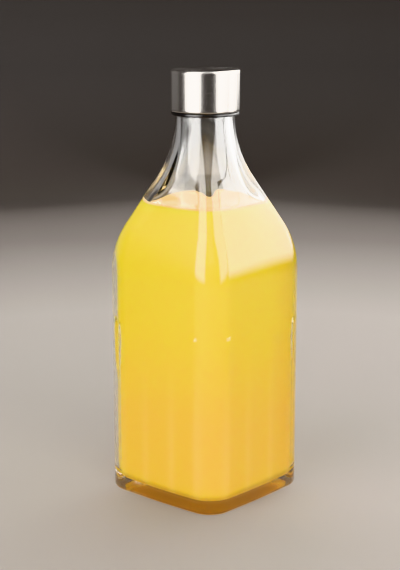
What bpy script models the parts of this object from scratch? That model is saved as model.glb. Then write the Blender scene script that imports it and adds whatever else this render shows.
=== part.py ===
"""A square one-litre glass bottle, filled with orange juice and closed by a steel screw cap.

Units are metres and +Z is up. The bottle stands on Z = 0 with its axis on Z, and its four
faces look along X and Y. The origin is the middle of the base.

The glass and the juice are lofts from a square with round corners to a circle, so their
rings are computed here. The cap and its liner are turned, with a Screw modifier.
"""

from math import cos, pi, radians, sin, tan

import bpy
import numpy as np

# The glass body: a square whose sides bulge a little between round corners
SIDE = 0.088               # across the middle of two opposite faces
CORNER_R = 0.0135
BULGE = 0.0016             # how far a face falls back towards its corners
HEEL_R = 0.003             # round edge at the foot
REST_BAND = 0.006          # flat band that the bottle rests on
PUSH_UP = 0.0018           # hollow under the base

# The glass wall: thick at the corners and in the base
WALL = 0.0038
INNER_CORNER_R = 0.0155
BASE = 0.0072
INNER_HEEL_R = 0.0055

# Three shallow flutes on the lower half of each face, between two narrow beads
FLUTES = 3
FLUTE_DEPTH = 0.0006
FLUTE_FOOT = 0.014
FLUTE_TOP = 0.106
FLUTE_RUN_OUT = 0.014      # length over which a flute fades at its top, twice the foot's
BEAD_RISE = 0.0005
BEAD_WIDTH = 0.002         # from a bead's crest to where its side has almost ended
BEAD_RUN_OUT = 0.005       # length over which a bead's top sinks back into the wall

# The shoulder, measured at a corner: an arc, a straight slope and a long hollow arc
SLOPE = radians(33.6)      # from the vertical
SLOPE_REACH = 0.0467       # the slope passes through this reach from the axis
SLOPE_HEIGHT = 0.1614      # at this height
SHOULDER_R = 0.050
FLARE_R = 0.064

# The neck and its finish, the plain ring of glass that the cap goes over
NECK_R = 0.0173
FINISH_R = 0.0169
FINISH_FOOT = 0.2262
LIP_HEIGHT = 0.2484
LIP_R = 0.0012
BORE_R = 0.0134

# The juice stands at the foot of the neck
JUICE_LEVEL = 0.174
GAP = 0.0003               # clearance between neighbouring pieces

# The cap: a spun steel shell over a moulded plastic liner, whose rim shows below it
CAP_R = 0.01995
CAP_FOOT = 0.2272
CAP_TOP = 0.2513
STEEL = 0.0006
CAP_TOP_EDGE_R = 0.0014
CAP_CURL_R = 0.0010        # the foot of the steel is rolled inwards
CAP_CURL = radians(75)
LINER_R = 0.0187
LINER_BORE_R = 0.0177
LINER_RIM_R = 0.0196
LINER_FOOT = 0.2252
LINER_ROOF = 0.0016
LINER_EDGE_R = 0.0005

# How finely the shapes are divided
FLUTE_POINTS = (0.0, 0.15, 0.5, 0.85)   # shares of a flute's width, densest at its crests
CORNER_STEPS = 8
ARC_STEPS = 7
LIP_STEPS = 3
EDGE_STEPS = 3
TURN_STEPS = 56
SHARP = radians(35)


def smooth_step(share):
    """0 below 0, 1 above 1, and an S curve between: 3 s^2 - 2 s^3."""
    share = min(max(share, 0.0), 1.0)
    return share * share * (3 - 2 * share)


def rounded_square(half, corner, flute=0.0, bead=0.0):
    """One ring of points round a square with bulging sides, flutes and round corners.

    A quarter is built at +X: along the face, then round the corner arc. The other
    three are the same quarter, turned by 90 degrees. A flute is a scallop, |sin|, and a
    bead is a bell, exp(-(distance / width)^2), on the line where face and corner meet.
    """
    flat = half - corner
    share = np.array([i + part for i in range(FLUTES) for part in FLUTE_POINTS] + [FLUTES])
    along = flat * (2 * share / FLUTES - 1)
    relief = (bead * np.exp(-((flat - np.abs(along)) / BEAD_WIDTH) ** 2)
              - flute * np.abs(np.sin(pi * share)))
    face = np.column_stack([half + relief, along])
    turn = np.linspace(0, pi / 2, CORNER_STEPS + 1)[1:-1]
    to_face = corner * np.minimum(turn, pi / 2 - turn)
    radius = corner + bead * np.exp(-(to_face / BEAD_WIDTH) ** 2)
    arc = flat + radius[:, None] * np.column_stack([np.cos(turn), np.sin(turn)])
    quarter = np.vstack([face, arc])
    x, y = quarter.T
    # Each side falls back by the square of the distance from its middle
    fall_back = BULGE / half ** 3
    quarter = np.column_stack([x * (1 - fall_back * y ** 2), y * (1 - fall_back * x ** 2)])
    quarters = []
    for _ in range(4):
        quarters.append(quarter)
        quarter = np.column_stack([-quarter[:, 1], quarter[:, 0]])
    return np.vstack(quarters)


def reach_of(outline):
    """The largest distance from the axis, which is at the corners."""
    return np.hypot(*outline.T).max()


def at_height(outline, height):
    return np.column_stack([outline, np.full(len(outline), height)])


def toward_circle(outline, radius, reach, height):
    """The ring between a circle and the outline whose corners have this reach."""
    circle = outline / np.hypot(*outline.T)[:, None] * radius
    share = (reach - radius) / (reach_of(outline) - radius)
    return at_height(circle + (outline - circle) * share, height)


def arc_points(centre, radius, start, end, steps):
    """Points (reach, height) on an arc, both ends included."""
    turn = np.linspace(start, end, steps + 1)
    return [(centre[0] + radius * cos(a), centre[1] + radius * sin(a)) for a in turn]


def shoulder_profile(reach, neck, depth, shoulder_r, flare_r):
    """Points (reach, height) up a corner of the shoulder, from the wall to the neck.

    The slope lies this depth under the outer one. It meets the wall and the neck in
    two corners, which the arcs round off.
    """
    line_reach = SLOPE_REACH - depth / cos(SLOPE)
    wall_end = SLOPE_HEIGHT + (line_reach - reach) / tan(SLOPE)
    neck_start = SLOPE_HEIGHT + (line_reach - neck) / tan(SLOPE)
    low = (reach - shoulder_r, wall_end - shoulder_r * tan(SLOPE / 2))
    high = (neck + flare_r, neck_start + flare_r * tan(SLOPE / 2))
    return (arc_points(low, shoulder_r, 0, SLOPE, ARC_STEPS)
            + arc_points(high, flare_r, pi + SLOPE, pi, ARC_STEPS))


def body_rings():
    """The outside of the glass, from under the base up to the start of the shoulder."""
    half = SIDE / 2
    inner_edge = HEEL_R + REST_BAND
    rings = [at_height(rounded_square(half - 3 * inner_edge, CORNER_R / 2), PUSH_UP),
             at_height(rounded_square(half - inner_edge, CORNER_R - HEEL_R), 0.0)]
    for out, down in arc_points((0, 0), HEEL_R, pi / 2, 0, EDGE_STEPS):
        inset = HEEL_R - out
        ring = rounded_square(half - inset, CORNER_R - inset)
        rings.append(at_height(ring, HEEL_R - down))
    foot = np.linspace(FLUTE_FOOT, FLUTE_FOOT + FLUTE_RUN_OUT / 2, 3)
    top = np.linspace(FLUTE_TOP - FLUTE_RUN_OUT, FLUTE_TOP - BEAD_RUN_OUT, 4)
    end = np.linspace(FLUTE_TOP - BEAD_RUN_OUT, FLUTE_TOP, 4)[1:]
    for height in [*foot, *top, *end]:
        rise = smooth_step((height - FLUTE_FOOT) / (FLUTE_RUN_OUT / 2))
        flute = FLUTE_DEPTH * min(rise, smooth_step((FLUTE_TOP - height) / FLUTE_RUN_OUT))
        bead = BEAD_RISE * min(rise, smooth_step((FLUTE_TOP - height) / BEAD_RUN_OUT))
        rings.append(at_height(rounded_square(half, CORNER_R, flute, bead), height))
    return rings


def outer_shoulder_rings():
    outline = rounded_square(SIDE / 2, CORNER_R)
    profile = shoulder_profile(reach_of(outline), NECK_R, 0.0, SHOULDER_R, FLARE_R)
    return [toward_circle(outline, NECK_R, reach, height) for reach, height in profile]


def finish_rings():
    """The neck above the flare, over its round lip and down into the bore."""
    outline = rounded_square(SIDE / 2, CORNER_R)
    step = 2 * GAP
    profile = [(NECK_R, FINISH_FOOT - step), (FINISH_R, FINISH_FOOT)]
    high = LIP_HEIGHT - LIP_R
    profile += arc_points((FINISH_R - LIP_R, high), LIP_R, 0, pi / 2, LIP_STEPS)
    profile += arc_points((BORE_R + LIP_R, high), LIP_R, pi / 2, pi, LIP_STEPS)
    return [toward_circle(outline, radius, radius, height) for radius, height in profile]


def cavity_rings(gap):
    """The hollow of the bottle, made smaller by a gap all round, from its floor up."""
    half = SIDE / 2 - WALL - gap
    corner = INNER_CORNER_R - gap
    floor = BASE + gap
    rings = []
    for out, down in arc_points((0, 0), INNER_HEEL_R, -pi / 2, 0, EDGE_STEPS):
        inset = INNER_HEEL_R - out
        rings.append(at_height(rounded_square(half - inset, corner - inset),
                               floor + INNER_HEEL_R + down))
    outline = rounded_square(half, corner)
    profile = shoulder_profile(reach_of(outline), BORE_R - gap, WALL + gap,
                               SHOULDER_R - WALL, FLARE_R + WALL)
    rings += [toward_circle(outline, BORE_R - gap, reach, height)
              for reach, height in profile]
    return rings


def cut_at(rings, level):
    """The rings below a level, and one exactly on it, between the two beside it."""
    heights = [ring[0, 2] for ring in rings]
    above = next(i for i, height in enumerate(heights) if height > level)
    share = (level - heights[above - 1]) / (heights[above] - heights[above - 1])
    edge = rings[above - 1] * (1 - share) + rings[above] * share
    return rings[:above] + [edge]


def loft(name, rings, start_height, end_height, every=1):
    """A closed body through the rings, with a pole on the axis at each end."""
    rings = [ring[::every] for ring in rings]
    count = len(rings[0])
    points = np.vstack([[[0, 0, start_height]], *rings, [[0, 0, end_height]]])
    last = len(points) - 1
    faces = []
    for j in range(count):
        k = (j + 1) % count
        faces.append((0, 1 + k, 1 + j))
        for i in range(len(rings) - 1):
            low, high = 1 + i * count, 1 + (i + 1) * count
            faces.append((low + j, low + k, high + k, high + j))
        top = 1 + (len(rings) - 1) * count
        faces.append((top + j, top + k, last))
    mesh = bpy.data.meshes.new(name)
    mesh.from_pydata(points.tolist(), [], faces)
    mesh.update()
    return mesh


def turned(name, profile, collection):
    """A body of revolution: the profile runs down its outer side, axis to axis."""
    mesh = bpy.data.meshes.new(name)
    points = [(radius, 0.0, height) for radius, height in profile]
    edges = [(i, i + 1) for i in range(len(points) - 1)]
    mesh.from_pydata(points, edges, [])
    piece = bpy.data.objects.new(name, mesh)
    collection.objects.link(piece)
    screw = piece.modifiers.new("Turn", "SCREW")
    screw.angle = 2 * pi
    screw.steps = TURN_STEPS
    screw.render_steps = TURN_STEPS
    screw.use_merge_vertices = True
    screw.merge_threshold = 0.00001
    screw.use_normal_calculate = False
    screw.use_smooth_shade = True
    return piece


def cap_profile():
    """The steel shell: over the top, down the side, round the curl and up inside."""
    top = (CAP_R - CAP_TOP_EDGE_R, CAP_TOP - CAP_TOP_EDGE_R)
    foot = (CAP_R - CAP_CURL_R, CAP_FOOT + CAP_CURL_R)
    points = [(0.0, CAP_TOP)]
    points += arc_points(top, CAP_TOP_EDGE_R, pi / 2, 0, EDGE_STEPS)
    points += arc_points(foot, CAP_CURL_R, 0, -CAP_CURL, EDGE_STEPS)
    points += arc_points(foot, CAP_CURL_R - STEEL, -CAP_CURL, 0, EDGE_STEPS)
    points += arc_points(top, CAP_TOP_EDGE_R - STEEL, 0, pi / 2, EDGE_STEPS)
    points += [(0.0, CAP_TOP - STEEL)]
    return points


def liner_profile():
    """The plastic insert: a cup inside the steel, with a rim that stands out below it."""
    roof = CAP_TOP - STEEL - GAP
    rim_top = CAP_FOOT - GAP
    edge = (LINER_RIM_R - LINER_EDGE_R, LINER_FOOT + LINER_EDGE_R)
    chamfer = 2 * LINER_EDGE_R
    points = [(0.0, roof), (LINER_R - chamfer, roof), (LINER_R, roof - chamfer),
              (LINER_R, rim_top), (LINER_RIM_R, rim_top)]
    points += arc_points(edge, LINER_EDGE_R, 0, -pi / 2, 2)
    points += [(LINER_BORE_R + GAP, LINER_FOOT), (LINER_BORE_R, LINER_FOOT + GAP),
               (LINER_BORE_R, roof - LINER_ROOF), (0.0, roof - LINER_ROOF)]
    return points


def material(name, colour, roughness, metallic=0.0, transmission=0.0, ior=1.5):
    mat = bpy.data.materials.new(name)
    mat.use_nodes = True
    shader = mat.node_tree.nodes["Principled BSDF"]
    shader.inputs["Base Color"].default_value = (*colour, 1.0)
    shader.inputs["Roughness"].default_value = roughness
    shader.inputs["Metallic"].default_value = metallic
    shader.inputs["Transmission Weight"].default_value = transmission
    shader.inputs["IOR"].default_value = ior
    mat.diffuse_color = (*colour, 1.0)
    return mat


def shade(mesh, mat):
    mesh.materials.append(mat)
    mesh.shade_smooth()
    mesh.set_sharp_from_angle(angle=SHARP)


def build():
    for old in list(bpy.data.objects):
        bpy.data.objects.remove(old, do_unlink=True)
    collection = bpy.data.collections.new("square_glass_bottle")
    bpy.context.scene.collection.children.link(collection)

    # Glass: up the outside, over the lip, and down the hollow to its floor
    glass_rings = (body_rings() + outer_shoulder_rings() + finish_rings()
                   + cavity_rings(0.0)[::-1])
    glass = loft("bottle", glass_rings, PUSH_UP, BASE)
    shade(glass, material("clear_glass", (0.93, 0.97, 0.95), 0.02, transmission=1.0))
    collection.objects.link(bpy.data.objects.new("bottle", glass))

    # Juice: every second point, so that its flats stay inside the glass
    juice_rings = cut_at(cavity_rings(GAP), JUICE_LEVEL)
    juice = loft("juice", juice_rings, BASE + GAP, JUICE_LEVEL, every=2)
    shade(juice, material("orange_juice", (0.87, 0.53, 0.06), 0.35))
    collection.objects.link(bpy.data.objects.new("juice", juice))

    cap = turned("cap", cap_profile(), collection)
    shade(cap.data, material("brushed_steel", (0.62, 0.60, 0.58), 0.28, metallic=1.0))
    liner = turned("cap_liner", liner_profile(), collection)
    shade(liner.data, material("black_plastic", (0.012, 0.012, 0.013), 0.35))


build()
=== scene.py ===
# %% [markdown]
# # A square glass bottle of juice
#
# This lesson dresses a litre bottle that is already modelled as plain solids. The solids
# are loaded as a frame, and every piece made here sits exactly where they are. What is
# left to make is what the eye sees: clear glass that bends light, cloudy juice, brushed
# steel and a rim of black plastic.

import bpy
import numpy as np
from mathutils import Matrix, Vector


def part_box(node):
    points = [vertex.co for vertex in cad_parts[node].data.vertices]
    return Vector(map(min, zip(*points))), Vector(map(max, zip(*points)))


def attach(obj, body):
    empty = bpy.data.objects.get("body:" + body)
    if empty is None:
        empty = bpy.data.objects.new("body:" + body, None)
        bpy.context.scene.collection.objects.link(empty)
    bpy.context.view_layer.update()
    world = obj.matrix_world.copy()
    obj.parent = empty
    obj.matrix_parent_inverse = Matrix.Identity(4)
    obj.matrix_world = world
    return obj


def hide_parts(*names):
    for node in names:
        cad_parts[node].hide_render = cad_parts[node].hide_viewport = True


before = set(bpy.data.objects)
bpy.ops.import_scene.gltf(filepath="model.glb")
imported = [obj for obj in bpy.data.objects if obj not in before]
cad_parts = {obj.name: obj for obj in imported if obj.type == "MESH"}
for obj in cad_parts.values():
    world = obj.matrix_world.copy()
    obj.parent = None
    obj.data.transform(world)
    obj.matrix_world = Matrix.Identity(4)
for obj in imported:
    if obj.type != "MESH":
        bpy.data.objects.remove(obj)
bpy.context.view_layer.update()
print("solids:", sorted(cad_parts))

# %% [markdown]
# ## The camera
#
# The photograph was taken from a little above the cap, with a short telephoto lens, and
# one corner of the bottle points almost at the lens. A camera's place can be guessed and
# nudged, or solved for from the outline of a known shape. It was solved for here: these
# are the distance, height and turn for which a bottle of this size has the outline seen
# in the picture. All of them are real lengths and angles, so that the numbers say where
# the photographer stood.

# %% Camera
IMAGE_HEIGHT = 570             # pixels, the long side of the picture
FOCAL_PIXELS = 1411.5          # focal length in pixels of that picture
SENSOR_MM = 36.0
CAMERA_DISTANCE = 0.8172       # metres from the bottle's axis, along the floor
CAMERA_HEIGHT = 0.3094
CAMERA_AZIMUTH = np.radians(41.0)    # how far round from the face that looks along -Y
CAMERA_PITCH = np.radians(12.77)     # looking down
CAMERA_YAW = np.radians(0.21)        # aimed a touch to the left of the axis


def place_camera():
    """Stands the camera at its azimuth and turns it down and a touch to the left."""
    data = bpy.data.cameras.new("camera")
    data.sensor_width = SENSOR_MM
    data.lens = FOCAL_PIXELS / IMAGE_HEIGHT * SENSOR_MM
    camera = bpy.data.objects.new("camera", data)
    camera.location = (CAMERA_DISTANCE * np.sin(CAMERA_AZIMUTH),
                       -CAMERA_DISTANCE * np.cos(CAMERA_AZIMUTH), CAMERA_HEIGHT)
    camera.rotation_euler = (np.pi / 2 - CAMERA_PITCH, 0, CAMERA_AZIMUTH + CAMERA_YAW)
    bpy.context.scene.collection.objects.link(camera)
    bpy.context.scene.camera = camera
    return camera


camera = place_camera()
print(f"lens {camera.data.lens:.1f} mm")

# %% [markdown]
# ## Colours and nodes
#
# Colours are written as the hex values that a picture editor shows, and one function
# turns them into the linear numbers that the renderer wants. Another adds a node, sets
# it up and links it in one call, so that a material reads as a list of its steps.


# %% Helpers for materials
def linear(hex_colour):
    """sRGB hex to linear RGBA: c / 12.92 in the toe, else ((c + 0.055) / 1.055) ^ 2.4."""
    text = hex_colour.lstrip("#")
    c = np.array([int(text[i:i + 2], 16) for i in (0, 2, 4)]) / 255
    rgb = np.where(c <= 0.04045, c / 12.92, ((c + 0.055) / 1.055) ** 2.4)
    return (*rgb.tolist(), 1.0)


def add(tree, kind, inputs=None, **settings):
    """Adds a node. inputs maps a socket's name or number to a value or to a socket."""
    node = tree.nodes.new(kind)
    for name, value in settings.items():
        setattr(node, name, value)
    for key, value in (inputs or {}).items():
        if isinstance(value, bpy.types.NodeSocket):
            tree.links.new(value, node.inputs[key])
        else:
            node.inputs[key].default_value = value
    return node


def ramp(tree, factor, stops):
    """A colour ramp through (position, hex colour) stops."""
    node = add(tree, "ShaderNodeValToRGB", {"Fac": factor})
    points = node.color_ramp.elements
    while len(points) < len(stops):
        points.new(0.5)
    for point, (position, colour) in zip(points, stops):
        point.position = position
        point.color = linear(colour)
    return node.outputs["Color"]


def new_material(name):
    """A material with one Principled shader; returns the material, its tree and shader."""
    mat = bpy.data.materials.new(name)
    mat.use_nodes = True
    tree = mat.node_tree
    return mat, tree, tree.nodes["Principled BSDF"]


# %% [markdown]
# ## A surface from a grid
#
# Every piece here is a surface that closes on the bottle's axis at both ends. So each is
# a grid of points, rows up the surface and columns round it, with one more point on the
# axis at either end. The faces follow from the grid's size alone, and numpy works them
# all out at once.


# %% Helpers for surfaces
def grid_faces(rows, columns):
    """Corner numbers of the faces: the fan round point 0, the quads and the last fan.

    Point (row, column) has the number 1 + row x columns + column, and the point that
    closes the far end comes after all of them. The faces point outwards when the columns
    run anticlockwise seen from above and the rows begin by going out from a low pole.
    """
    here = 1 + np.arange(rows * columns).reshape(rows, columns)
    beside = np.roll(here, -1, axis=1)
    quads = np.stack([here[:-1], beside[:-1], beside[1:], here[1:]], axis=-1).reshape(-1, 4)
    first = np.stack([np.zeros(columns, int), beside[0], here[0]], axis=-1)
    last = np.stack([here[-1], beside[-1], np.full(columns, rows * columns + 1)], axis=-1)
    return first.tolist(), quads.tolist(), last.tolist()


def closed_surface(name, grid, start, end, mat, replaced):
    """A closed mesh through grid (rows, columns, 3), between two points on the axis."""
    first, quads, last = grid_faces(*grid.shape[:2])
    points = np.vstack([[start], grid.reshape(-1, 3), [end]])
    mesh = bpy.data.meshes.new(name)
    mesh.from_pydata(points.tolist(), [], quads + first + last)
    mesh.update()
    mesh.shade_smooth()
    mesh.materials.append(mat)
    piece = bpy.data.objects.new(name, mesh)
    bpy.context.scene.collection.objects.link(piece)
    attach(piece, "root")
    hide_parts(replaced)
    print(f"{name}: {len(mesh.vertices)} points, {len(mesh.polygons)} faces")
    return piece


def arc(centre, radius, start, end, count):
    """Points (reach, height) on an arc: centre + radius (cos a, sin a)."""
    a = np.radians(np.linspace(start, end, count))
    return np.column_stack([centre[0] + radius * np.cos(a), centre[1] + radius * np.sin(a)])


def straight(start, end, count):
    """Points between two others, neither end included."""
    share = np.linspace(0, 1, count + 2)[1:-1, None]
    return np.asarray(start) * (1 - share) + np.asarray(end) * share


def smooth_step(share):
    """0 below 0, 1 above 1, and an S curve between: 3 s^2 - 2 s^3."""
    share = np.clip(share, 0, 1)
    return share * share * (3 - 2 * share)


# %% [markdown]
# ## The square that turns into a circle
#
# Seen from above, the bottle is a square whose sides bulge a little and whose corners are
# round. Up the shoulder that square turns into the circle of the neck. A subdivided cage
# could do this roughly, but a bottle is moulded to a drawing, and its shine shows any
# wobble. So both outlines are formulas, and the shoulder is a mix of the two: all of the
# square at the wall, all of the circle at the neck.

# %% The bottle's dimensions
glass_low, glass_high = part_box("bottle")
SIDE = float(glass_high[0] - glass_low[0])
LIP_HEIGHT = float(glass_high[2])
CORNER_R = 0.0135
BULGE = 0.0016                 # how far a side falls back towards its corners
HEEL_R = 0.003                 # the round edge of the foot
REST_BAND = 0.006              # width of the flat band that the bottle stands on
PUSH_UP = 0.0018               # how far the middle of the underside is raised,
PUSH_UP_SHARE = 0.55           # over this share of the way in from the band
WALL = 0.0038
INNER_CORNER_R = 0.0135
BASE = 0.0072
INNER_HEEL_R = 0.0055
FLUTES = 3                     # on each face
FLUTE_DEPTH = 0.0006
FLUTE_FOOT, FLUTE_TOP = 0.014, 0.106
FLUTE_RUN_OUT = 0.014
BEAD_RISE = 0.00075            # the narrow bead on either side of the flutes
BEAD_WIDTH = 0.0027
BEAD_RUN_OUT = 0.003           # height of the slope in which it ends at the top
BEAD_FADE = (0.070, 0.098)     # heights between which a bead grows to its full rise
SLOPE = 33.6                   # degrees from the vertical, at a corner
SLOPE_REACH, SLOPE_HEIGHT = 0.0467, 0.1614
SHOULDER_R, FLARE_R = 0.050, 0.064
NECK_R, FINISH_R, BORE_R = 0.0173, 0.0169, 0.0134
FINISH_FOOT = 0.2262           # where the plain ring under the cap begins,
FINISH_STEP = 0.0006           # after a step of this height
LIP_R = 0.0012

FLUTE_COLUMNS = 14             # grid columns across a flute
CORNER_COLUMNS = 22            # and round a corner
WALL_ROWS = (0, 6, 18, 34, 64, 78)    # grid rows at the heights where the relief changes
SHOULDER_ROWS = (26, 12, 30)   # grid rows in its arc, slope and flare


# %% Outline
def outline(half, corner, flute=0.0, bead=0.0):
    """Rounded squares, one for each row: (rows, columns, 2).

    A face is x = half, with y from -(half - corner) to +(half - corner). Across it go
    the flutes, depth |sin|, and where it meets a corner stands a bead,
    rise exp(-(distance / width)^2). A corner is an arc. Then x falls back by
    BULGE (y / half)^2, and y by BULGE (x / half)^2. The other faces are turned copies.
    The columns are closest where two flutes meet, because that crest is sharp.
    """
    half, corner, flute, bead = np.broadcast_arrays(*np.atleast_1d(half, corner, flute, bead))
    half, corner, flute, bead = (v[:, None].astype(float) for v in (half, corner, flute, bead))
    flat = half - corner
    part = (1 - np.cos(np.linspace(0, np.pi, FLUTE_COLUMNS + 1)[:-1])) / 2
    share = np.append((np.arange(FLUTES)[:, None] + part).ravel(), FLUTES)[None]
    along = flat * (2 * share / FLUTES - 1)
    relief = (bead * np.exp(-((flat - np.abs(along)) / BEAD_WIDTH) ** 2)
              - flute * np.abs(np.sin(np.pi * share)))
    turn = np.linspace(0, np.pi / 2, CORNER_COLUMNS + 1)[None, 1:-1]
    to_face = corner * np.minimum(turn, np.pi / 2 - turn)
    radius = corner + bead * np.exp(-(to_face / BEAD_WIDTH) ** 2)
    x = np.hstack([half + relief, flat + radius * np.cos(turn)])
    y = np.hstack([along, flat + radius * np.sin(turn)])
    fall_back = BULGE / half ** 3
    quarter = np.stack([x * (1 - fall_back * y ** 2), y * (1 - fall_back * x ** 2)], -1)
    turned = [quarter]
    for _ in range(3):
        last = turned[-1]
        turned.append(np.stack([-last[..., 1], last[..., 0]], -1))
    return np.concatenate(turned, axis=1)


def at_heights(rings, heights):
    """Adds the heights to (rows, columns, 2) as a third coordinate."""
    z = np.broadcast_to(np.asarray(heights, float)[:, None, None], (*rings.shape[:2], 1))
    return np.concatenate([rings, z], axis=2)


def square_to_circle(square, radius, profile):
    """Rings between a circle and a square, so that the corners reach as the profile says.

    For a row of the profile (reach, height), share = (reach - radius) over
    (the square's reach - radius), and the ring is circle + (square - circle) share.
    """
    distance = np.linalg.norm(square, axis=-1, keepdims=True)
    circle = square / distance * radius
    share = (profile[:, 0] - radius) / (distance.max() - radius)
    rings = circle + (square - circle) * share[:, None, None]
    return at_heights(rings, profile[:, 1])


def shoulder_profile(reach, neck, depth, shoulder_r, flare_r):
    """Points up a corner of the shoulder: an arc, a straight slope and a long flare."""
    angle = np.radians(SLOPE)
    line = SLOPE_REACH - depth / np.cos(angle)
    wall_end = SLOPE_HEIGHT + (line - reach) / np.tan(angle)
    neck_start = SLOPE_HEIGHT + (line - neck) / np.tan(angle)
    low = (reach - shoulder_r, wall_end - shoulder_r * np.tan(angle / 2))
    high = (neck + flare_r, neck_start + flare_r * np.tan(angle / 2))
    arc_rows, slope_rows, flare_rows = SHOULDER_ROWS
    convex = arc(low, shoulder_r, 0, SLOPE, arc_rows)
    concave = arc(high, flare_r, 180 + SLOPE, 180, flare_rows)
    return np.vstack([convex, straight(convex[-1], concave[0], slope_rows), concave])


def round_edge(half, corner, radius, foot, rows):
    """Rings round a lower edge: inset radius (1 - cos a), foot + radius (1 - sin a) up."""
    turn = np.radians(np.linspace(90, 0, rows))
    inset = radius * (1 - np.cos(turn))
    return at_heights(outline(half - inset, corner - inset),
                      foot + radius * (1 - np.sin(turn)))


print(f"{SIDE * 1000:.0f} mm square, {LIP_HEIGHT * 1000:.1f} mm to the lip")

# %% [markdown]
# ## The glass
#
# A bottle is blown: a mould gives the outside its crisp form, and the inside is free. So
# the outside follows the drawing, and the inside has softer corners, a thick base and a
# slow unevenness, which bends what is seen through the neck. The glass is one closed
# skin: up the outside, over the lip, and down the inside to the floor of the hollow.
#
# The relief on a face is three shallow flutes between two beads. A bead is nothing at the
# foot and grows towards its top, where it ends in a short steep slope. That slope leans
# back far enough to mirror a softbox, so each bead is tipped with a small bright spot.
# A normal map could draw the flutes, but not their edge seen from the side, so they are
# part of the outline.


# %% Outside of the glass
FIRST_RING = 0.002             # half the width of the ring next to the axis


def glass_outside():
    """Rows from under the base, round the heel, up the wall and shoulder to the neck."""
    half = SIDE / 2
    rest = half - HEEL_R - REST_BAND
    under = np.linspace(FIRST_RING, rest, 14)
    dome = PUSH_UP * smooth_step((rest - under) / (PUSH_UP_SHARE * rest))
    base = at_heights(outline(under, under * (CORNER_R - HEEL_R) / rest), dome)
    band = at_heights(outline(half - HEEL_R - REST_BAND / 2, CORNER_R - HEEL_R), [0.0])
    heel = round_edge(half, CORNER_R, HEEL_R, 0.0, 9)
    square = outline(half, CORNER_R)
    profile = shoulder_profile(np.linalg.norm(square, axis=-1).max(), NECK_R, 0.0,
                               SHOULDER_R, FLARE_R)
    z = np.interp(np.arange(1, WALL_ROWS[-1]), WALL_ROWS,
                  [HEEL_R, FLUTE_FOOT, FLUTE_FOOT + FLUTE_RUN_OUT / 2,
                   FLUTE_TOP - FLUTE_RUN_OUT, FLUTE_TOP, profile[0, 1]])
    rise = smooth_step((z - FLUTE_FOOT) / (FLUTE_RUN_OUT / 2))
    flute = FLUTE_DEPTH * rise * smooth_step((FLUTE_TOP - z) / FLUTE_RUN_OUT)
    grown = smooth_step((z - BEAD_FADE[0]) / np.ptp(BEAD_FADE))
    bead = BEAD_RISE * rise * grown * np.clip((FLUTE_TOP - z) / BEAD_RUN_OUT, 0, 1)
    wall = at_heights(outline(half, CORNER_R, flute, bead), z)
    return np.vstack([base, band, heel, wall, square_to_circle(square, NECK_R, profile)])


def glass_finish():
    """Rows from the neck up the plain ring under the cap, over the lip and into the bore."""
    top = LIP_HEIGHT - LIP_R
    step = [(NECK_R, FINISH_FOOT - FINISH_STEP), (FINISH_R, FINISH_FOOT)]
    profile = np.vstack([step, arc((FINISH_R - LIP_R, top), LIP_R, 0, 90, 6),
                         arc((BORE_R + LIP_R, top), LIP_R, 90, 180, 6)])
    return square_to_circle(outline(SIDE / 2, CORNER_R), FINISH_R, profile)


# %% [markdown]
# The bright bands in the neck are lamps mirrored by the wall of the hollow, so its form
# decides where they stand. Two things that blowing does to a hollow put them there. It is
# a circle sooner than the outside is, because the air inside never touches the mould's
# corners. And it lies a fraction of a millimetre off centre.

# %% Inside of the glass
ROUNDER_FROM, ROUNDER_TO = 0.172, 0.186    # heights between which it becomes a circle
OFF_CENTRE = (0.00045, 0.0004)             # metres in X and Y below that; none at the lip
FLOOR_FIRST_RING = 0.003       # half the width of the floor's ring next to the axis
FLOOR_CORNER = 0.4             # a floor ring's corner radius, as a share of its half width


def rounder(rings, low, high):
    """Moves points to their ring's mean reach: not at all below low, fully above high."""
    reach = np.linalg.norm(rings[..., :2], axis=-1, keepdims=True)
    amount = smooth_step((rings[..., 2:] - low) / (high - low))
    ratio = 1 + amount * (reach.mean(axis=1, keepdims=True) / reach - 1)
    return np.concatenate([rings[..., :2] * ratio, rings[..., 2:]], axis=-1)


def hollow(gap):
    """The hollow, smaller by a gap all round (larger if it is negative), floor to neck."""
    half, corner = SIDE / 2 - WALL - gap, INNER_CORNER_R - gap
    under = np.linspace(FLOOR_FIRST_RING, half - INNER_HEEL_R, 8)[:-1]
    floor = at_heights(outline(under, under * FLOOR_CORNER), np.full(len(under), BASE + gap))
    heel = round_edge(half, corner, INNER_HEEL_R, BASE + gap, 12)
    square = outline(half, corner)
    profile = shoulder_profile(np.linalg.norm(square, axis=-1).max(), BORE_R - gap,
                               WALL + gap, SHOULDER_R - WALL, FLARE_R + WALL)
    wall = straight((profile[0, 0], BASE + INNER_HEEL_R), profile[0], 30)
    neck = straight(profile[-1], (BORE_R - gap, LIP_HEIGHT - LIP_R), 8)
    profile = np.vstack([wall, profile, neck])
    rings = square_to_circle(square, BORE_R - gap, profile)
    grid = np.vstack([floor, heel, rounder(rings, ROUNDER_FROM, ROUNDER_TO)])
    centred = smooth_step((grid[..., 2:] - ROUNDER_FROM) / (LIP_HEIGHT - ROUNDER_FROM))
    grid[..., :2] += np.array(OFF_CENTRE) * (1 - centred)
    return grid


print(f"walls {WALL * 1000:.1f} mm, base {BASE * 1000:.1f} mm")

# %% Unevenness inside
UNEVEN = 0.00018               # metres, how much the wall's thickness wanders
WAVE_SHARES = (0.6, 0.4)       # how much of that each of two slow waves does
LOBES = (3, 5)                 # crests that a wave has round the bottle
CLIMB = (60.0, -150.0)         # radians that it turns in a metre of height
SWELL = 110.0                  # radians a metre at which the first swells and fades
PHASE = 0.7                    # radians, in the first
NEAR_AXIS = 0.01               # metres, within which the move is in proportion


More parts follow.
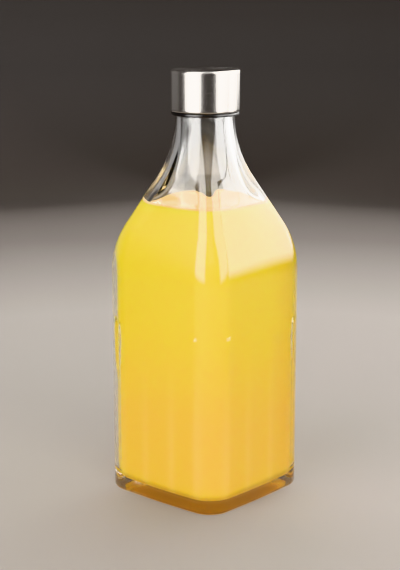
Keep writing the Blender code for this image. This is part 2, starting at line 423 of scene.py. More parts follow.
def uneven(grid):
    """Moves points towards the axis by UNEVEN (1 + waves) / 2.

    A wave is share sin(lobes turn + climb z). The first has a phase as well, and its
    strength goes as sin(swell z).
    """
    turn = np.arctan2(grid[..., 1], grid[..., 0])
    z = grid[..., 2]
    first = np.sin(LOBES[0] * turn + CLIMB[0] * z + PHASE) * np.sin(SWELL * z)
    second = np.sin(LOBES[1] * turn + CLIMB[1] * z)
    waves = WAVE_SHARES[0] * first + WAVE_SHARES[1] * second
    reach = np.linalg.norm(grid[..., :2], axis=-1)
    shrink = 1 - UNEVEN * (1 + waves) / 2 / np.maximum(reach, NEAR_AXIS)
    shrink = np.where(z > BASE + INNER_HEEL_R / 2, shrink, 1.0)
    return np.concatenate([grid[..., :2] * shrink[..., None], grid[..., 2:]], axis=-1)


# %% [markdown]
# ### Soda-lime glass
#
# Bottle glass is soda-lime glass, moulded and fire-polished: it bends light by about
# 1.52, hardly colours it, and its skin is glossy but never quite flat. A slow bump, a
# centimetre wide and very shallow, gives reflections their slightly liquid edge, and a
# trace of haze stands for the marks of handling.
#
# The foot differs. The ring that a bottle stands on is stippled in the mould, so that
# scratches don't show, and glass near it turns rough. The thick base also looks amber,
# because daylight enters it down through the juice. Letting the light find that way costs
# more rays than a lesson can spend, so the base has the amber as a tint of its own.


# %% Glass material
GLASS_IOR = 1.52
RIPPLES = 90.0                 # swells of the skin per metre
RIPPLE_HEIGHT = 0.0002
HAZE_PATCHES = 25.0            # per metre
HAZE_ROUGHNESS = 0.03
AMBER = (0.0115, 0.007)        # heights between which the tint sets in, downwards
STIPPLE = (0.007, 0.002)       # heights between which the glass turns rough
STIPPLE_ROUGHNESS = 0.2


def soda_lime_glass():
    """Clear and glossy with a slow bump, and amber and rough towards the foot."""
    mat, tree, shader = new_material("soda_lime_glass")
    shader.inputs["Transmission Weight"].default_value = 1.0
    shader.inputs["IOR"].default_value = GLASS_IOR
    place = add(tree, "ShaderNodeTexCoord").outputs["Object"]
    split = add(tree, "ShaderNodeSeparateXYZ", {"Vector": place})
    foot = add(tree, "ShaderNodeMapRange", {"Value": split.outputs["Z"],
                                            "From Min": AMBER[0], "From Max": AMBER[1]})
    tint = ramp(tree, foot.outputs["Result"], [(0.0, "#FAFBFA"), (1.0, "#DAA86C")])
    tree.links.new(tint, shader.inputs["Base Color"])
    ripple = add(tree, "ShaderNodeTexNoise", {"Vector": place, "Scale": RIPPLES,
                                              "Detail": 1.0})
    bump = add(tree, "ShaderNodeBump", {"Height": ripple.outputs["Fac"], "Strength": 0.25,
                                        "Distance": RIPPLE_HEIGHT})
    haze = add(tree, "ShaderNodeTexNoise", {"Vector": place, "Scale": HAZE_PATCHES,
                                            "Detail": 2.0})
    film = add(tree, "ShaderNodeMapRange", {"Value": haze.outputs["Fac"], "From Min": 0.45,
                                            "From Max": 0.8, "To Max": HAZE_ROUGHNESS})
    stipple = add(tree, "ShaderNodeMapRange", {"Value": split.outputs["Z"],
                                               "From Min": STIPPLE[0],
                                               "From Max": STIPPLE[1],
                                               "To Max": STIPPLE_ROUGHNESS})
    rough = add(tree, "ShaderNodeMath", {0: film.outputs["Result"], 1: stipple.outputs["Result"]})
    tree.links.new(rough.outputs[0], shader.inputs["Roughness"])
    tree.links.new(bump.outputs["Normal"], shader.inputs["Normal"])
    return mat


# %% Build the glass
inside = uneven(hollow(0.0))[::-1]
glass_grid = np.vstack([glass_outside(), glass_finish(), inside])
glass = closed_surface("glass_bottle", glass_grid, (0, 0, PUSH_UP), (0, 0, BASE),
                       soda_lime_glass(), "bottle")

# %% [markdown]
# Light that has to find its way through two curved walls of glass to reach the juice
# would leave the render full of speckles. The glass therefore lets shadow rays and
# diffuse rays through unbent, and bends only what the eye sees in it and through it.


# %% How rays treat the glass
def only_for_the_eye(piece):
    """Shadow rays and diffuse rays pass the piece as if it weren't there."""
    piece.visible_shadow = False
    piece.visible_diffuse = False


only_for_the_eye(glass)

# %% [markdown]
# ## The juice
#
# Where a drink touches a bottle there is no air between them, so the juice reaches a
# little into the glass wall. Its surface is level except at the edge, where it creeps up
# the glass in a small curve, the meniscus.
#
# The sides are two pieces, one inside the other. Pulp never quite touches glass: a thin
# layer of clear liquid wets the wall, and seen at a grazing angle, as it is round each
# upright corner, that layer is a mirror. One opaque body with a gloss could not do this,
# because a gloss is added to the full colour beneath it, and the corners would be far too
# bright. So the pulp is opaque and has no gloss, and a clear piece stands less than a
# tenth of a millimetre outside it.

# %% Juice shape
juice_level = float(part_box("juice")[1][2])
INTO_WALL = 0.0003
MENISCUS_RISE = 0.0006
MENISCUS_WIDTH = 0.0022
FROTH = 0.0003                 # metres, the film of fine bubbles on the surface
LEVEL_RINGS = (0.001, 0.030)   # metres in from the glass: first and last ring of a surface
MENISCUS_RINGS = (0.0001, 0.0003)    # two more, in the curve that creeps up the glass
CLEAR = 0.00008                # metres of clear liquid between the glass and the pulp
CLEAR_FROM = 0.0095            # it starts above the round edge of the hollow's floor,
CLEAR_SUNK = 3 * CLEAR         # inside the pulp by this much,
CLEAR_OVER = 0.003             # and comes out of it over this height


def side_rows(low, high, depth=INTO_WALL):
    """Rows of the hollow, pushed into the glass, between two heights and on them."""
    rows = hollow(-depth)
    heights = rows[:, 0, 2]

    def on(height):
        above = int(np.searchsorted(heights, height))
        share = (height - heights[above - 1]) / (heights[above] - heights[above - 1])
        return rows[above - 1:above] * (1 - share) + rows[above:above + 1] * share

    between = rows[(heights > low) & (heights < high)]
    lowest = [on(low)] if low > heights[0] else []
    return np.vstack([*lowest, between, on(high)])


def inward(rim, distances, heights):
    """Rings inside a rim, each a distance further in and at a height of its own."""
    reach = np.linalg.norm(rim[:, :2], axis=1).mean()
    rings = rim[None] * (1 - distances / reach)[:, None, None]
    rings[..., 2] = heights[:, None]
    return rings


def fill_grid():
    """The body of the juice: up the sides, and flat on top, just under the froth."""
    sides = side_rows(0.0, juice_level - FROTH / 2, INTO_WALL - CLEAR)
    steps = np.linspace(*LEVEL_RINGS, 6)
    return np.vstack([sides, inward(sides[-1], steps, np.full(6, juice_level - FROTH / 2))])


def froth_grid():
    """A thin lens: in over its underside's rim, up the glass, and in over the surface.

    At a distance d from the glass the surface stands MENISCUS_RISE exp(-d / width)
    above the level.
    """
    sides = side_rows(juice_level - FROTH, juice_level + MENISCUS_RISE)
    under = inward(sides[0], np.linspace(*LEVEL_RINGS[::-1], 6),
                   np.full(6, juice_level - FROTH))
    steps = np.append(MENISCUS_RINGS, np.geomspace(2 * MENISCUS_RINGS[1], LEVEL_RINGS[1], 26))
    rise = MENISCUS_RISE * np.exp(-steps / MENISCUS_WIDTH)
    return np.vstack([under, sides, inward(sides[-1], steps, juice_level + rise)])


print(f"juice up to {juice_level * 1000:.1f} mm")

# %% [markdown]
# ### Cloudy juice
#
# Pressed juice is water full of fine pulp. Light goes about a centimetre in, is scattered
# and comes out warmer, so it looks soft and lit from within. Near the surface it is a
# clear yellow, and towards the base, where the pulp settles, a deeper orange-yellow. The
# juice is also painted darker and more orange towards one upright edge: painted shade.
#
# Two small things are drawn in because the renderer's plain glass doesn't pass them on.
# Behind the crests between flutes, which gather light as a rod of glass does, the juice
# has pale bands. And its underside glows: that is the light which came down through the
# juice and leaves through the base.


# %% Pale bands behind the crests
STREAK_AT = (0.0102, 0.0285)   # metres from the middle of a face: behind the crests
STREAK_WIDTH = 0.0026
STREAK_FADE = (0.095, 0.03)    # heights between which a streak grows, downwards
STREAK_TINT = (0.06, 0.08, 0.45)    # red, green and blue that a streak adds, as shares


def streaks(tree, split):
    """Colour factor: 1 + tint exp(-(distance to a crest / width)^2), most at the foot.

    The smaller of |X| and |Y| is the distance from the middle of the nearest face.
    """
    size = [add(tree, "ShaderNodeMath", {0: split.outputs[axis]}, operation="ABSOLUTE")
            for axis in ("X", "Y")]
    along = add(tree, "ShaderNodeMath", {0: size[0].outputs[0], 1: size[1].outputs[0]},
                operation="MINIMUM")
    total = 0.0
    for crest in STREAK_AT:
        away = add(tree, "ShaderNodeMath", {0: along.outputs[0], 1: crest},
                   operation="SUBTRACT")
        scaled = add(tree, "ShaderNodeMath", {0: away.outputs[0], 1: STREAK_WIDTH},
                     operation="DIVIDE")
        square = add(tree, "ShaderNodeMath", {0: scaled.outputs[0], 1: scaled.outputs[0]},
                     operation="MULTIPLY")
        bell = add(tree, "ShaderNodeMath", {0: np.exp(-1), 1: square.outputs[0]},
                   operation="POWER")
        total = add(tree, "ShaderNodeMath", {0: bell.outputs[0], 1: total}).outputs[0]
    low = add(tree, "ShaderNodeMapRange", {"Value": split.outputs["Z"],
                                           "From Min": STREAK_FADE[0],
                                           "From Max": STREAK_FADE[1]})
    share = add(tree, "ShaderNodeMath", {0: total, 1: low.outputs["Result"]},
                operation="MULTIPLY")
    return add(tree, "ShaderNodeVectorMath", {0: share.outputs[0], 1: STREAK_TINT,
                                              2: (1.0, 1.0, 1.0)},
               operation="MULTIPLY_ADD").outputs["Vector"]


# %% Juice material
PAINTED_SHADE_SPAN = (0.05, 0.09)         # metres of X + Y over which the painted shade grows
# painted shade: darker and more orange towards the upright edge that gets less light
PAINTED_SHADE_TINT = (-0.15, -0.29, -0.22)
UNDERSIDE = (0.0095, BASE)     # heights between which the glow sets in, downwards
SHADES = (0.05, 0.15)          # heights between which the colour runs from warm to clear
CLOUDS = 14.0                  # per metre of juice
SWAY = 0.02                    # metres of height, how far clouds bend those shades
SPECKS = 900.0                 # per metre; real pulp is finer, but would not show
PULP_SHADES = (0.97, 1.03)


def painted_shade(tree, split):
    """Colour factor for painted shade: 1 + tint times how far X + Y has gone through its range.
    """
    side = add(tree, "ShaderNodeMath", {0: split.outputs["X"], 1: split.outputs["Y"]})
    share = add(tree, "ShaderNodeMapRange", {"Value": side.outputs[0],
                                             "From Min": PAINTED_SHADE_SPAN[0], "From Max": PAINTED_SHADE_SPAN[1]})
    return add(tree, "ShaderNodeVectorMath", {0: share.outputs["Result"], 1: PAINTED_SHADE_TINT,
                                              2: (1.0, 1.0, 1.0)},
               operation="MULTIPLY_ADD").outputs["Vector"]


def cloudy_juice():
    """Height shade x pulp x painted bands x painted edge shade, scattering inside, no gloss."""
    mat, tree, shader = new_material("cloudy_juice")
    place = add(tree, "ShaderNodeTexCoord").outputs["Object"]
    split = add(tree, "ShaderNodeSeparateXYZ", {"Vector": place})
    drift = add(tree, "ShaderNodeTexNoise", {"Vector": place, "Scale": CLOUDS,
                                             "Detail": 2.0})
    sway = add(tree, "ShaderNodeMath", {0: drift.outputs["Fac"], 1: SWAY, 2: -SWAY / 2},
               operation="MULTIPLY_ADD")
    height = add(tree, "ShaderNodeMath", {0: split.outputs["Z"], 1: sway.outputs[0]})
    share = add(tree, "ShaderNodeMapRange", {"Value": height.outputs[0],
                                             "From Min": SHADES[0], "From Max": SHADES[1]})
    colour = ramp(tree, share.outputs["Result"], [(0.0, "#DFB842"), (0.5, "#DBC239"),
                                                  (1.0, "#D6C342")])
    pulp = add(tree, "ShaderNodeTexNoise", {"Vector": place, "Scale": SPECKS,
                                            "Detail": 2.0})
    speck = add(tree, "ShaderNodeMapRange", {"Value": pulp.outputs["Fac"], "From Min": 0.3,
                                             "From Max": 0.7, "To Min": PULP_SHADES[0],
                                             "To Max": PULP_SHADES[1]})
    shade = add(tree, "ShaderNodeVectorMath", {0: colour, 1: speck.outputs["Result"]},
                operation="MULTIPLY")
    banded = add(tree, "ShaderNodeVectorMath", {0: shade.outputs["Vector"],
                                                1: streaks(tree, split)}, operation="MULTIPLY")
    # painted shade on one upright edge of the juice
    lit = add(tree, "ShaderNodeVectorMath", {0: banded.outputs["Vector"],
                                             1: painted_shade(tree, split)}, operation="MULTIPLY")
    tree.links.new(lit.outputs["Vector"], shader.inputs["Base Color"])
    low = add(tree, "ShaderNodeMapRange", {"Value": split.outputs["Z"],
                                           "From Min": UNDERSIDE[0],
                                           "From Max": UNDERSIDE[1]})
    glow = ramp(tree, low.outputs["Result"], [(0.0, "#000000"), (1.0, "#D7A85C")])
    tree.links.new(glow, shader.inputs["Emission Color"])
    shader.inputs["Emission Strength"].default_value = 0.4
    shader.inputs["Specular IOR Level"].default_value = 0.0
    shader.inputs["Roughness"].default_value = 0.6
    shader.inputs["Subsurface Weight"].default_value = 0.7
    shader.inputs["Subsurface Radius"].default_value = (1.0, 0.7, 0.2)
    shader.inputs["Subsurface Scale"].default_value = 0.015
    return mat


# %% [markdown]
# ### The clear layer
#
# A ray meets this layer from inside the glass, so what bends or mirrors it is the step
# from glass to juice, 1.35 / 1.52 = 0.888, and that is the index the material has. Below
# one, it mirrors everything beyond 63 degrees. It is slightly rough, because the inside of
# blown glass and the pulp behind it are never flat, and it bends only what the eye sees.


# %% Clear liquid next to the glass
JUICE_IOR = 1.35
JUICE_IN_GLASS = JUICE_IOR / GLASS_IOR


def film_grid():
    """Sides of the juice at full depth, but sunk into the pulp at the lower end.

    There a point moves inwards by CLEAR_SUNK (1 - smooth step of its height over
    CLEAR_OVER), so that the layer has no visible edge.
    """
    rows = side_rows(CLEAR_FROM, juice_level - FROTH / 2)
    reach = np.linalg.norm(rows[..., :2], axis=-1, keepdims=True)
    sunk = CLEAR_SUNK * (1 - smooth_step((rows[..., 2:] - CLEAR_FROM) / CLEAR_OVER))
    return np.concatenate([rows[..., :2] * (1 - sunk / reach), rows[..., 2:]], axis=-1)


def clear_liquid():
    """Nearly colourless, with the index of the step from glass to juice."""
    mat, _, shader = new_material("clear_liquid")
    shader.inputs["Base Color"].default_value = linear("#FFFBEA")
    shader.inputs["Transmission Weight"].default_value = 1.0
    shader.inputs["IOR"].default_value = JUICE_IN_GLASS
    shader.inputs["Roughness"].default_value = 0.15
    return mat


# %% [markdown]
# ### Froth
#
# Squeezing and pouring leave a film of bubbles, each smaller than a pinhead. It scatters
# white light over the juice's own colour, so the surface is a paler, peachy cream, and it
# is wet, so it still shines. The bubbles are drawn a millimetre wide so that they show.


# %% Froth material
BUBBLES = 900.0                # per metre
BUBBLE_HEIGHT = 0.0002
FROTH_PATCHES = 60.0           # denser patches per metre


def froth():
    """Cream in two shades, with a bump of small cells."""
    mat, tree, shader = new_material("froth")
    place = add(tree, "ShaderNodeTexCoord").outputs["Object"]
    cells = add(tree, "ShaderNodeTexVoronoi", {"Vector": place, "Scale": BUBBLES})
    patches = add(tree, "ShaderNodeTexNoise", {"Vector": place, "Scale": FROTH_PATCHES,
                                               "Detail": 3.0})
    tint = ramp(tree, patches.outputs["Fac"], [(0.35, "#EDBE6C"), (0.65, "#F5D69E")])
    bump = add(tree, "ShaderNodeBump", {"Height": cells.outputs["Distance"],
                                        "Strength": 0.15, "Distance": BUBBLE_HEIGHT})
    tree.links.new(tint, shader.inputs["Base Color"])
    tree.links.new(bump.outputs["Normal"], shader.inputs["Normal"])
    shader.inputs["Roughness"].default_value = 0.4
    shader.inputs["IOR"].default_value = JUICE_IOR
    shader.inputs["Specular IOR Level"].default_value = 0.1
    shader.inputs["Subsurface Weight"].default_value = 0.3
    shader.inputs["Subsurface Radius"].default_value = (1.0, 0.8, 0.5)
    shader.inputs["Subsurface Scale"].default_value = 0.002
    return mat


# %% Build the juice
closed_surface("juice_fill", fill_grid(), (0, 0, BASE - INTO_WALL),
               (0, 0, juice_level - FROTH / 2), cloudy_juice(), "juice")
film = closed_surface("juice_film", film_grid(), (0, 0, CLEAR_FROM),
                      (0, 0, juice_level - FROTH / 2), clear_liquid(), "juice")
only_for_the_eye(film)
closed_surface("juice_froth", froth_grid(), (0, 0, juice_level - FROTH),
               (0, 0, juice_level), froth(), "juice")

# %% [markdown]
# ## The cap
#
# The cap is a shell of thin stainless steel, spun to shape and brushed on a lathe, over a
# black plastic insert that carries the thread. Both are turned shapes, so each is a
# profile carried round the axis. It starts inside, under the roof, because a surface
# whose rows go out from a low pole has its faces outwards.

# %% Turned shapes
cap_low, cap_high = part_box("cap")
CAP_R = float(cap_high[0])
CAP_TOP, CAP_FOOT = float(cap_high[2]), float(cap_low[2])
STEEL = 0.0006
TOP_EDGE_R = 0.0014
CURL_R = 0.001
CURL = 75                      # degrees that the foot is rolled inwards
TURN_COLUMNS = 224             # grid columns round a turned shape
NEXT_TO_AXIS = 0.0005          # metres, where a profile stops; one point closes it


def turned(profile):
    """(rows, columns, 3): each point (radius, height) of the profile, carried round."""
    turn = np.linspace(0, 2 * np.pi, TURN_COLUMNS, endpoint=False)
    radius, height = profile[:, :1], profile[:, 1:]
    return np.stack([radius * np.cos(turn), radius * np.sin(turn),
                     np.broadcast_to(height, (len(profile), TURN_COLUMNS))], axis=-1)


def cap_profile():
    """Out under the roof, down inside, round the rolled foot, up and in over the lid."""
    top = (CAP_R - TOP_EDGE_R, CAP_TOP - TOP_EDGE_R)
    foot = (CAP_R - CURL_R, CAP_FOOT + CURL_R)
    roof = straight((NEXT_TO_AXIS, CAP_TOP - STEEL), (top[0], CAP_TOP - STEEL), 6)
    lid = straight((top[0], CAP_TOP), (NEXT_TO_AXIS, CAP_TOP), 12)
    side = straight((CAP_R, foot[1]), (CAP_R, top[1]), 24)
    return np.vstack([roof, arc(top, TOP_EDGE_R - STEEL, 90, 0, 5),
                      arc(foot, CURL_R - STEEL, 0, -CURL, 6), arc(foot, CURL_R, -CURL, 0, 9),
                      side, arc(top, TOP_EDGE_R, 0, 90, 10), lid])


print(f"cap {CAP_R * 2000:.0f} mm across, {(CAP_TOP - CAP_FOOT) * 1000:.1f} mm high")

# %% [markdown]
# ### Brushed stainless steel
#
# Brushing on a lathe leaves fine rings round the side and on the lid. They spread a
# reflection up and down but leave its left and right edges fairly crisp, which is why
# the softboxes show as upright bands. Real grooves are a few hundredths of a millimetre
# wide; these are drawn a quarter of a millimetre wide so that some of them show.


# %% Steel material
GROOVE = 0.00025               # metres from one drawn groove to the next
GROOVE_DEPTH = 0.00003
STEEL_ROUGHNESS = (0.14, 0.22)


def brushed_steel():
    """Grooves by height less reach: rings round the side, and rings on the lid."""
    mat, tree, shader = new_material("brushed_stainless_steel")
    place = add(tree, "ShaderNodeTexCoord").outputs["Object"]
    split = add(tree, "ShaderNodeSeparateXYZ", {"Vector": place})
    flat = add(tree, "ShaderNodeCombineXYZ", {"X": split.outputs["X"], "Y": split.outputs["Y"]})
    reach = add(tree, "ShaderNodeVectorMath", {0: flat.outputs["Vector"]}, operation="LENGTH")
    rings = add(tree, "ShaderNodeMath", {0: split.outputs["Z"], 1: reach.outputs["Value"]},
                operation="SUBTRACT")
    steps = add(tree, "ShaderNodeMath", {0: rings.outputs[0], 1: 1 / GROOVE},
                operation="MULTIPLY")
    line = add(tree, "ShaderNodeTexNoise", {"W": steps.outputs[0], "Scale": 1.0,
                                            "Detail": 3.0}, noise_dimensions="1D")
    rough = add(tree, "ShaderNodeMapRange", {"Value": line.outputs["Fac"], "From Min": 0.25,
                                             "From Max": 0.75,
                                             "To Min": STEEL_ROUGHNESS[0],
                                             "To Max": STEEL_ROUGHNESS[1]})
    tint = ramp(tree, line.outputs["Fac"], [(0.2, "#B5B2AF"), (0.8, "#CFCCC9")])
    bump = add(tree, "ShaderNodeBump", {"Height": line.outputs["Fac"], "Strength": 0.12,
                                        "Distance": GROOVE_DEPTH})
    tangent = add(tree, "ShaderNodeTangent", direction_type="RADIAL", axis="Z")
    tree.links.new(tint, shader.inputs["Base Color"])
    tree.links.new(rough.outputs["Result"], shader.inputs["Roughness"])
    tree.links.new(bump.outputs["Normal"], shader.inputs["Normal"])
    tree.links.new(tangent.outputs["Tangent"], shader.inputs["Tangent"])
    shader.inputs["Metallic"].default_value = 1.0
    shader.inputs["Anisotropic"].default_value = 0.6
    return mat


# %% Build the cap
closed_surface("steel_cap", turned(cap_profile()), (0, 0, CAP_TOP - STEEL),
               (0, 0, CAP_TOP), brushed_steel(), "cap")

# %% [markdown]
# ### The black insert
#
# Only the rim of the insert shows, as a dark line under the steel. It is injection
# moulded polypropylene: nearly black, with the soft gloss of a polished mould.


# %% Insert shape
liner_low, liner_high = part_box("cap_liner")
LINER_RIM_R, LINER_TOP = float(liner_high[0]), float(liner_high[2])
LINER_FOOT = float(liner_low[2])
LINER_BORE_R = 0.0177
LINER_WALL = 0.0010
LINER_ROOF = 0.0016            # thickness
LINER_EDGE_R = 0.0005
RIM_EDGE_R = 0.0002
RIM_GAP = 0.0003               # from the rim up to the steel
BORE_CHAMFER = 0.0003


def liner_profile():
    """Out under the roof, down the bore, round the rim, up and in over the roof."""
    bore, edge, outside = LINER_BORE_R, LINER_EDGE_R, LINER_BORE_R + LINER_WALL
    under, rim_top = LINER_TOP - LINER_ROOF, CAP_FOOT - RIM_GAP
    return np.vstack([
        straight((0.0, under), (bore, under), 6), [(bore, under)],
        straight((bore, under), (bore, LINER_FOOT), 6),
        [(bore, LINER_FOOT + BORE_CHAMFER), (bore + BORE_CHAMFER, LINER_FOOT)],
        arc((LINER_RIM_R - edge, LINER_FOOT + edge), edge, -90, 0, 6),
        arc((LINER_RIM_R - RIM_EDGE_R, rim_top - RIM_EDGE_R), RIM_EDGE_R, 0, 90, 3),
        [(outside, rim_top), (outside, LINER_TOP - edge)],
        arc((outside - edge, LINER_TOP - edge), edge, 0, 90, 4),
        straight((outside - edge, LINER_TOP), (0.0, LINER_TOP), 5)])


# %% Insert material
GRAINS = 1500.0                # per metre; the real grain is finer than a render shows
INSERT_ROUGHNESS = (0.22, 0.34)


def black_polypropylene():
    """Two near blacks and a roughness that both follow the grain."""
    mat, tree, shader = new_material("black_polypropylene")
    place = add(tree, "ShaderNodeTexCoord").outputs["Object"]
    grain = add(tree, "ShaderNodeTexNoise", {"Vector": place, "Scale": GRAINS,
                                             "Detail": 2.0})
    tint = ramp(tree, grain.outputs["Fac"], [(0.3, "#121213"), (0.7, "#1B1A1B")])
    rough = add(tree, "ShaderNodeMapRange", {"Value": grain.outputs["Fac"],
                                             "To Min": INSERT_ROUGHNESS[0],
                                             "To Max": INSERT_ROUGHNESS[1]})
    tree.links.new(tint, shader.inputs["Base Color"])
    tree.links.new(rough.outputs["Result"], shader.inputs["Roughness"])
    return mat


# %% Build the insert
closed_surface("cap_insert", turned(liner_profile()), (0, 0, LINER_TOP - LINER_ROOF),
               (0, 0, LINER_TOP), black_polypropylene(), "cap_liner")

# %% [markdown]
# ## The studio
#
# Clear glass has almost no colour of its own: it shows its surroundings. The bottle
# stands on a pale floor that sweeps up into a darker grey wall all round, so its body
# stands out against the floor and its neck against the wall.

# %% Stage
FLOOR_R = 1.05
COVE_R = 0.25
WALL_TOP = 2.2
PALE_TO, DARK_FROM = 0.45, 1.45    # metres out along the floor and up the wall, added


def stage_grid():
    """A turned sweep: flat floor, a quarter-round cove, then an upright wall."""
    floor = straight((0.0, 0.0), (FLOOR_R, 0.0), 20)
    cove = arc((FLOOR_R, COVE_R), COVE_R, -90, 0, 24)
    wall = straight((FLOOR_R + COVE_R, COVE_R), (FLOOR_R + COVE_R, WALL_TOP), 6)
    return turned(np.vstack([floor, cove, wall]))


def studio_sweep():
    """Matt paint: pale on the floor, darker up the wall."""
    mat, tree, shader = new_material("studio_sweep")
    place = add(tree, "ShaderNodeTexCoord").outputs["Object"]
    split = add(tree, "ShaderNodeSeparateXYZ", {"Vector": place})
    flat = add(tree, "ShaderNodeCombineXYZ", {"X": split.outputs["X"], "Y": split.outputs["Y"]})
    reach = add(tree, "ShaderNodeVectorMath", {0: flat.outputs["Vector"]}, operation="LENGTH")
    climb = add(tree, "ShaderNodeMath", {0: reach.outputs["Value"], 1: split.outputs["Z"]})
    share = add(tree, "ShaderNodeMapRange", {"Value": climb.outputs[0],
                                             "From Min": PALE_TO, "From Max": DARK_FROM})
    tint = ramp(tree, share.outputs["Result"], [(0.0, "#86817C"), (0.35, "#5A5450"),
                                                (1.0, "#2B2726")])
    tree.links.new(tint, shader.inputs["Base Color"])
    shader.inputs["Roughness"].default_value = 0.8
    return mat


def build_stage():
    """Open at the top, with each face turned over so that the sweep faces inwards."""
    grid = stage_grid()
    middle, quads, _ = grid_faces(*grid.shape[:2])
    faces = [face[:1] + face[:0:-1] for face in quads + middle]
    mesh = bpy.data.meshes.new("studio")
    mesh.from_pydata(np.vstack([[(0, 0, 0)], grid.reshape(-1, 3)]).tolist(), [], faces)
    mesh.shade_smooth()
    mesh.materials.append(studio_sweep())
    stage = bpy.data.objects.new("studio", mesh)
    bpy.context.scene.collection.objects.link(stage)


build_stage()
print(f"wall {WALL_TOP:.1f} m high, {FLOOR_R + COVE_R:.1f} m out")

# %% [markdown]
# ## Light
#
# The bright bands on the cap and neck are the lamps themselves, mirrored. Reading them
# on a round cap gives each lamp's place: a point seen at an angle b from the middle of
# the cap mirrors what stands at twice that angle. They show one softbox to the left of
# the camera, and a wide one that reaches from the right round to the back. A softbox is
# brightest in the middle, so each fades out over a hand's width at its edges.
#
# One softbox does three jobs here: it shows as a reflection on a skin, it shows in the
# thickness of the neck, through two surfaces, and it lights the juice and the floor. A
# photographer balances these with flags, grids and small cards near the glass. Here each
# job has a panel of its own, which only rays of that kind can find, so each can be as
# bright as the photograph asks. The panels found through glass stand near the neck, at
# its height, so that the thick foot far below hardly sees them. Panels in one plane would
# hide each other, which is the other reason why each kind has its own distance.
#
# Cards fill what is left: a dim one in front, which keeps the middle of the cap from going
# black, and two more behind for the left edges of cap and neck. One softbox far round to
# the left is found only through glass, for the left side of the neck. Two back lights are
# for a viewer who walks round the bottle, and a dim ceiling is for one who looks down on
# it, because the brushed lid mirrors little else. Towards the camera it ends at 59 degrees
# above the horizon, so that the shoulder, which mirrors up to 54 in the photograph,
# doesn't show it.

# %% Kinds of panel
WARM_WHITE = (1.0, 0.975, 0.945)
WARMER_WHITE = (1.0, 0.93, 0.87)
NEUTRAL_WHITE = (1.0, 0.985, 0.985)
DISTANCE = {"skin": 0.98, "through": 0.45, "light": 1.02}    # so that none hides another
NECK_HEIGHT = 0.2              # nearer panels shrink towards this height
FEATHER = 0.18                 # metres over which a softbox fades out at its edge
CEILING_SIDE = 2.4             # metres, each way
CEILING_RADIANCE = 0.7


def soft_edges(data, left, right, feather):
    """Fades a lamp out at its top and bottom, and at its left and right if asked to.

    Its strength is the product, over those edges, of a smooth step of the distance to
    the edge over the feather.
    """
    data.use_nodes = True
    tree = data.node_tree
    place = add(tree, "ShaderNodeTexCoord").outputs["UV"]
    split = add(tree, "ShaderNodeSeparateXYZ", {"Vector": place})
    edges = [("X", 0.0, data.size)] * left + [("X", 1.0, data.size)] * right
    edges += [("Y", 0.0, data.size_y), ("Y", 1.0, data.size_y)]
    strength = 1.0
    for axis, edge, length in edges:
        inside = edge + (feather / length) * (1 - 2 * edge)
        fade = add(tree, "ShaderNodeMapRange", {"Value": split.outputs[axis],
                                                "From Min": edge, "From Max": inside},
                   interpolation_type="SMOOTHSTEP")
        strength = add(tree, "ShaderNodeMath", {0: fade.outputs["Result"], 1: strength},
                       operation="MULTIPLY").outputs[0]
    tree.links.new(strength, tree.nodes["Emission"].inputs["Strength"])


def rectangle(name, width, length, radiance, seen, colour=WARM_WHITE):
    """A lamp of power pi x radiance x area that only one kind of ray finds.

    seen says which: rays off an outer skin ("skin"), those that come through glass
    ("through") or those that light a matt surface ("light").
    """
    data = bpy.data.lights.new(f"{name}_{seen}", "AREA")
    data.shape = "RECTANGLE"
    data.size, data.size_y = width, length
    data.energy = np.pi * radiance * width * length
    data.color = NEUTRAL_WHITE if seen == "through" else colour
    lamp = bpy.data.objects.new(data.name, data)
    lamp.visible_camera = False
    lamp.visible_transmission = seen == "through"
    lamp.visible_glossy = seen == "skin"
    lamp.visible_diffuse = seen == "light"
    bpy.context.scene.collection.objects.link(lamp)
    return lamp


def panel(name, azimuth, width, low, high, radiance, seen, roll=0, fades=(True, True),
          colour=WARM_WHITE):
    """An upright panel facing the bottle, at an angle to the right of the camera.

    The width and heights are those of a panel 1 m away, and one that stands nearer is
    made smaller in proportion, so that it looks the same from the neck. roll lifts its
    right-hand end by so many degrees. Where it joins another, its edge doesn't fade.
    """
    turn = CAMERA_AZIMUTH + np.radians(azimuth)
    near = DISTANCE[seen]
    lamp = rectangle(name, width * near, (high - low) * near, radiance, seen, colour)
    lamp.location = (near * np.sin(turn), -near * np.cos(turn),
                     NECK_HEIGHT + ((low + high) / 2 - NECK_HEIGHT) * near)
    lamp.rotation_euler = (np.pi / 2, np.radians(-roll), turn)
    if seen != "light":
        soft_edges(lamp.data, *fades, FEATHER * near)


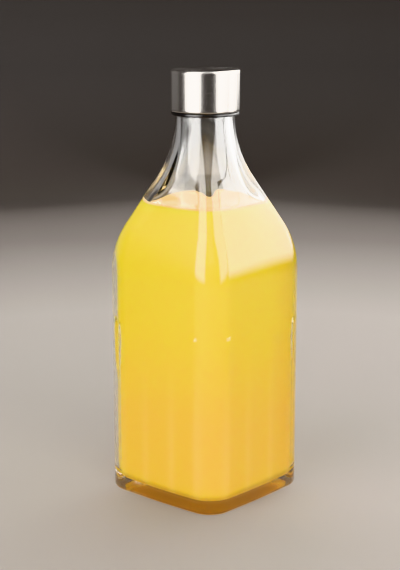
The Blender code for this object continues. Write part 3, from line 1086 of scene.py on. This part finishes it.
def ceiling():
    """A square over the bottle, level with the top of the wall and facing down.

    It is turned so that one side is towards the camera.
    """
    lamp = rectangle("ceiling", CEILING_SIDE, CEILING_SIDE, CEILING_RADIANCE, "skin")
    lamp.location = (0, 0, WALL_TOP)
    lamp.rotation_euler = (0, 0, CAMERA_AZIMUTH)
    soft_edges(lamp.data, True, True, FEATHER)


def softbox(name, azimuth, width, low, high, skin, through, **options):
    """The same panel twice: as bright off a skin, and as bright through glass, as given."""
    panel(name, azimuth, width, low, high, skin, "skin", **options)
    panel(name, azimuth, width, low, high, through, "through", **options)


# %% Place the lamps
# Angle in degrees, width, lower and upper edge in metres, then the radiance. A softbox has
# two: off a skin and through glass.
softbox("left_softbox", -39, 1.03, 0.0, 2.05, 10.0, 8.8, roll=-5)
softbox("right_softbox_near", 53.6, 0.855, 0.0, 2.05, 8.8, 18.0, roll=8, fades=(True, False))
softbox("right_softbox_far", 101, 0.775, 0.02, 2.05, 8.8, 18.0, roll=8, fades=(False, False))
softbox("right_softbox_back", 143, 0.775, 0.10, 2.05, 5.0, 3.0, fades=(False, True))
panel("left_card", -122, 0.9, 0.0, 1.0, 0.2, "skin", fades=(False, False))
softbox("front_card", 7, 0.6, 0.40, 2.05, 0.8, 1.0)
panel("neck_softbox", -88, 1.2, 0.30, 1.40, 9.5, "through")
panel("back_card", -147, 0.8, 0.0, 0.45, 0.28, "through")
panel("left_light", -50, 1.2, 0.1, 1.7, 2.75, "light")
panel("right_light", 17, 1.0, 0.1, 1.7, 5.6, "light", colour=WARMER_WHITE)
panel("back_light_right", 156, 1.1, 0.1, 1.7, 3.2, "light")
panel("back_light_left", -156, 1.1, 0.1, 1.7, 3.2, "light")
ceiling()
print(f"{len(bpy.data.lights)} lamps")

# %% Air and camera response
world = bpy.data.worlds.new("studio_air")
world.use_nodes = True
world.node_tree.nodes["Background"].inputs["Color"].default_value = linear("#8A8684")
world.node_tree.nodes["Background"].inputs["Strength"].default_value = 0.35
bpy.context.scene.world = world
bpy.context.scene.view_settings.view_transform = "Khronos PBR Neutral"
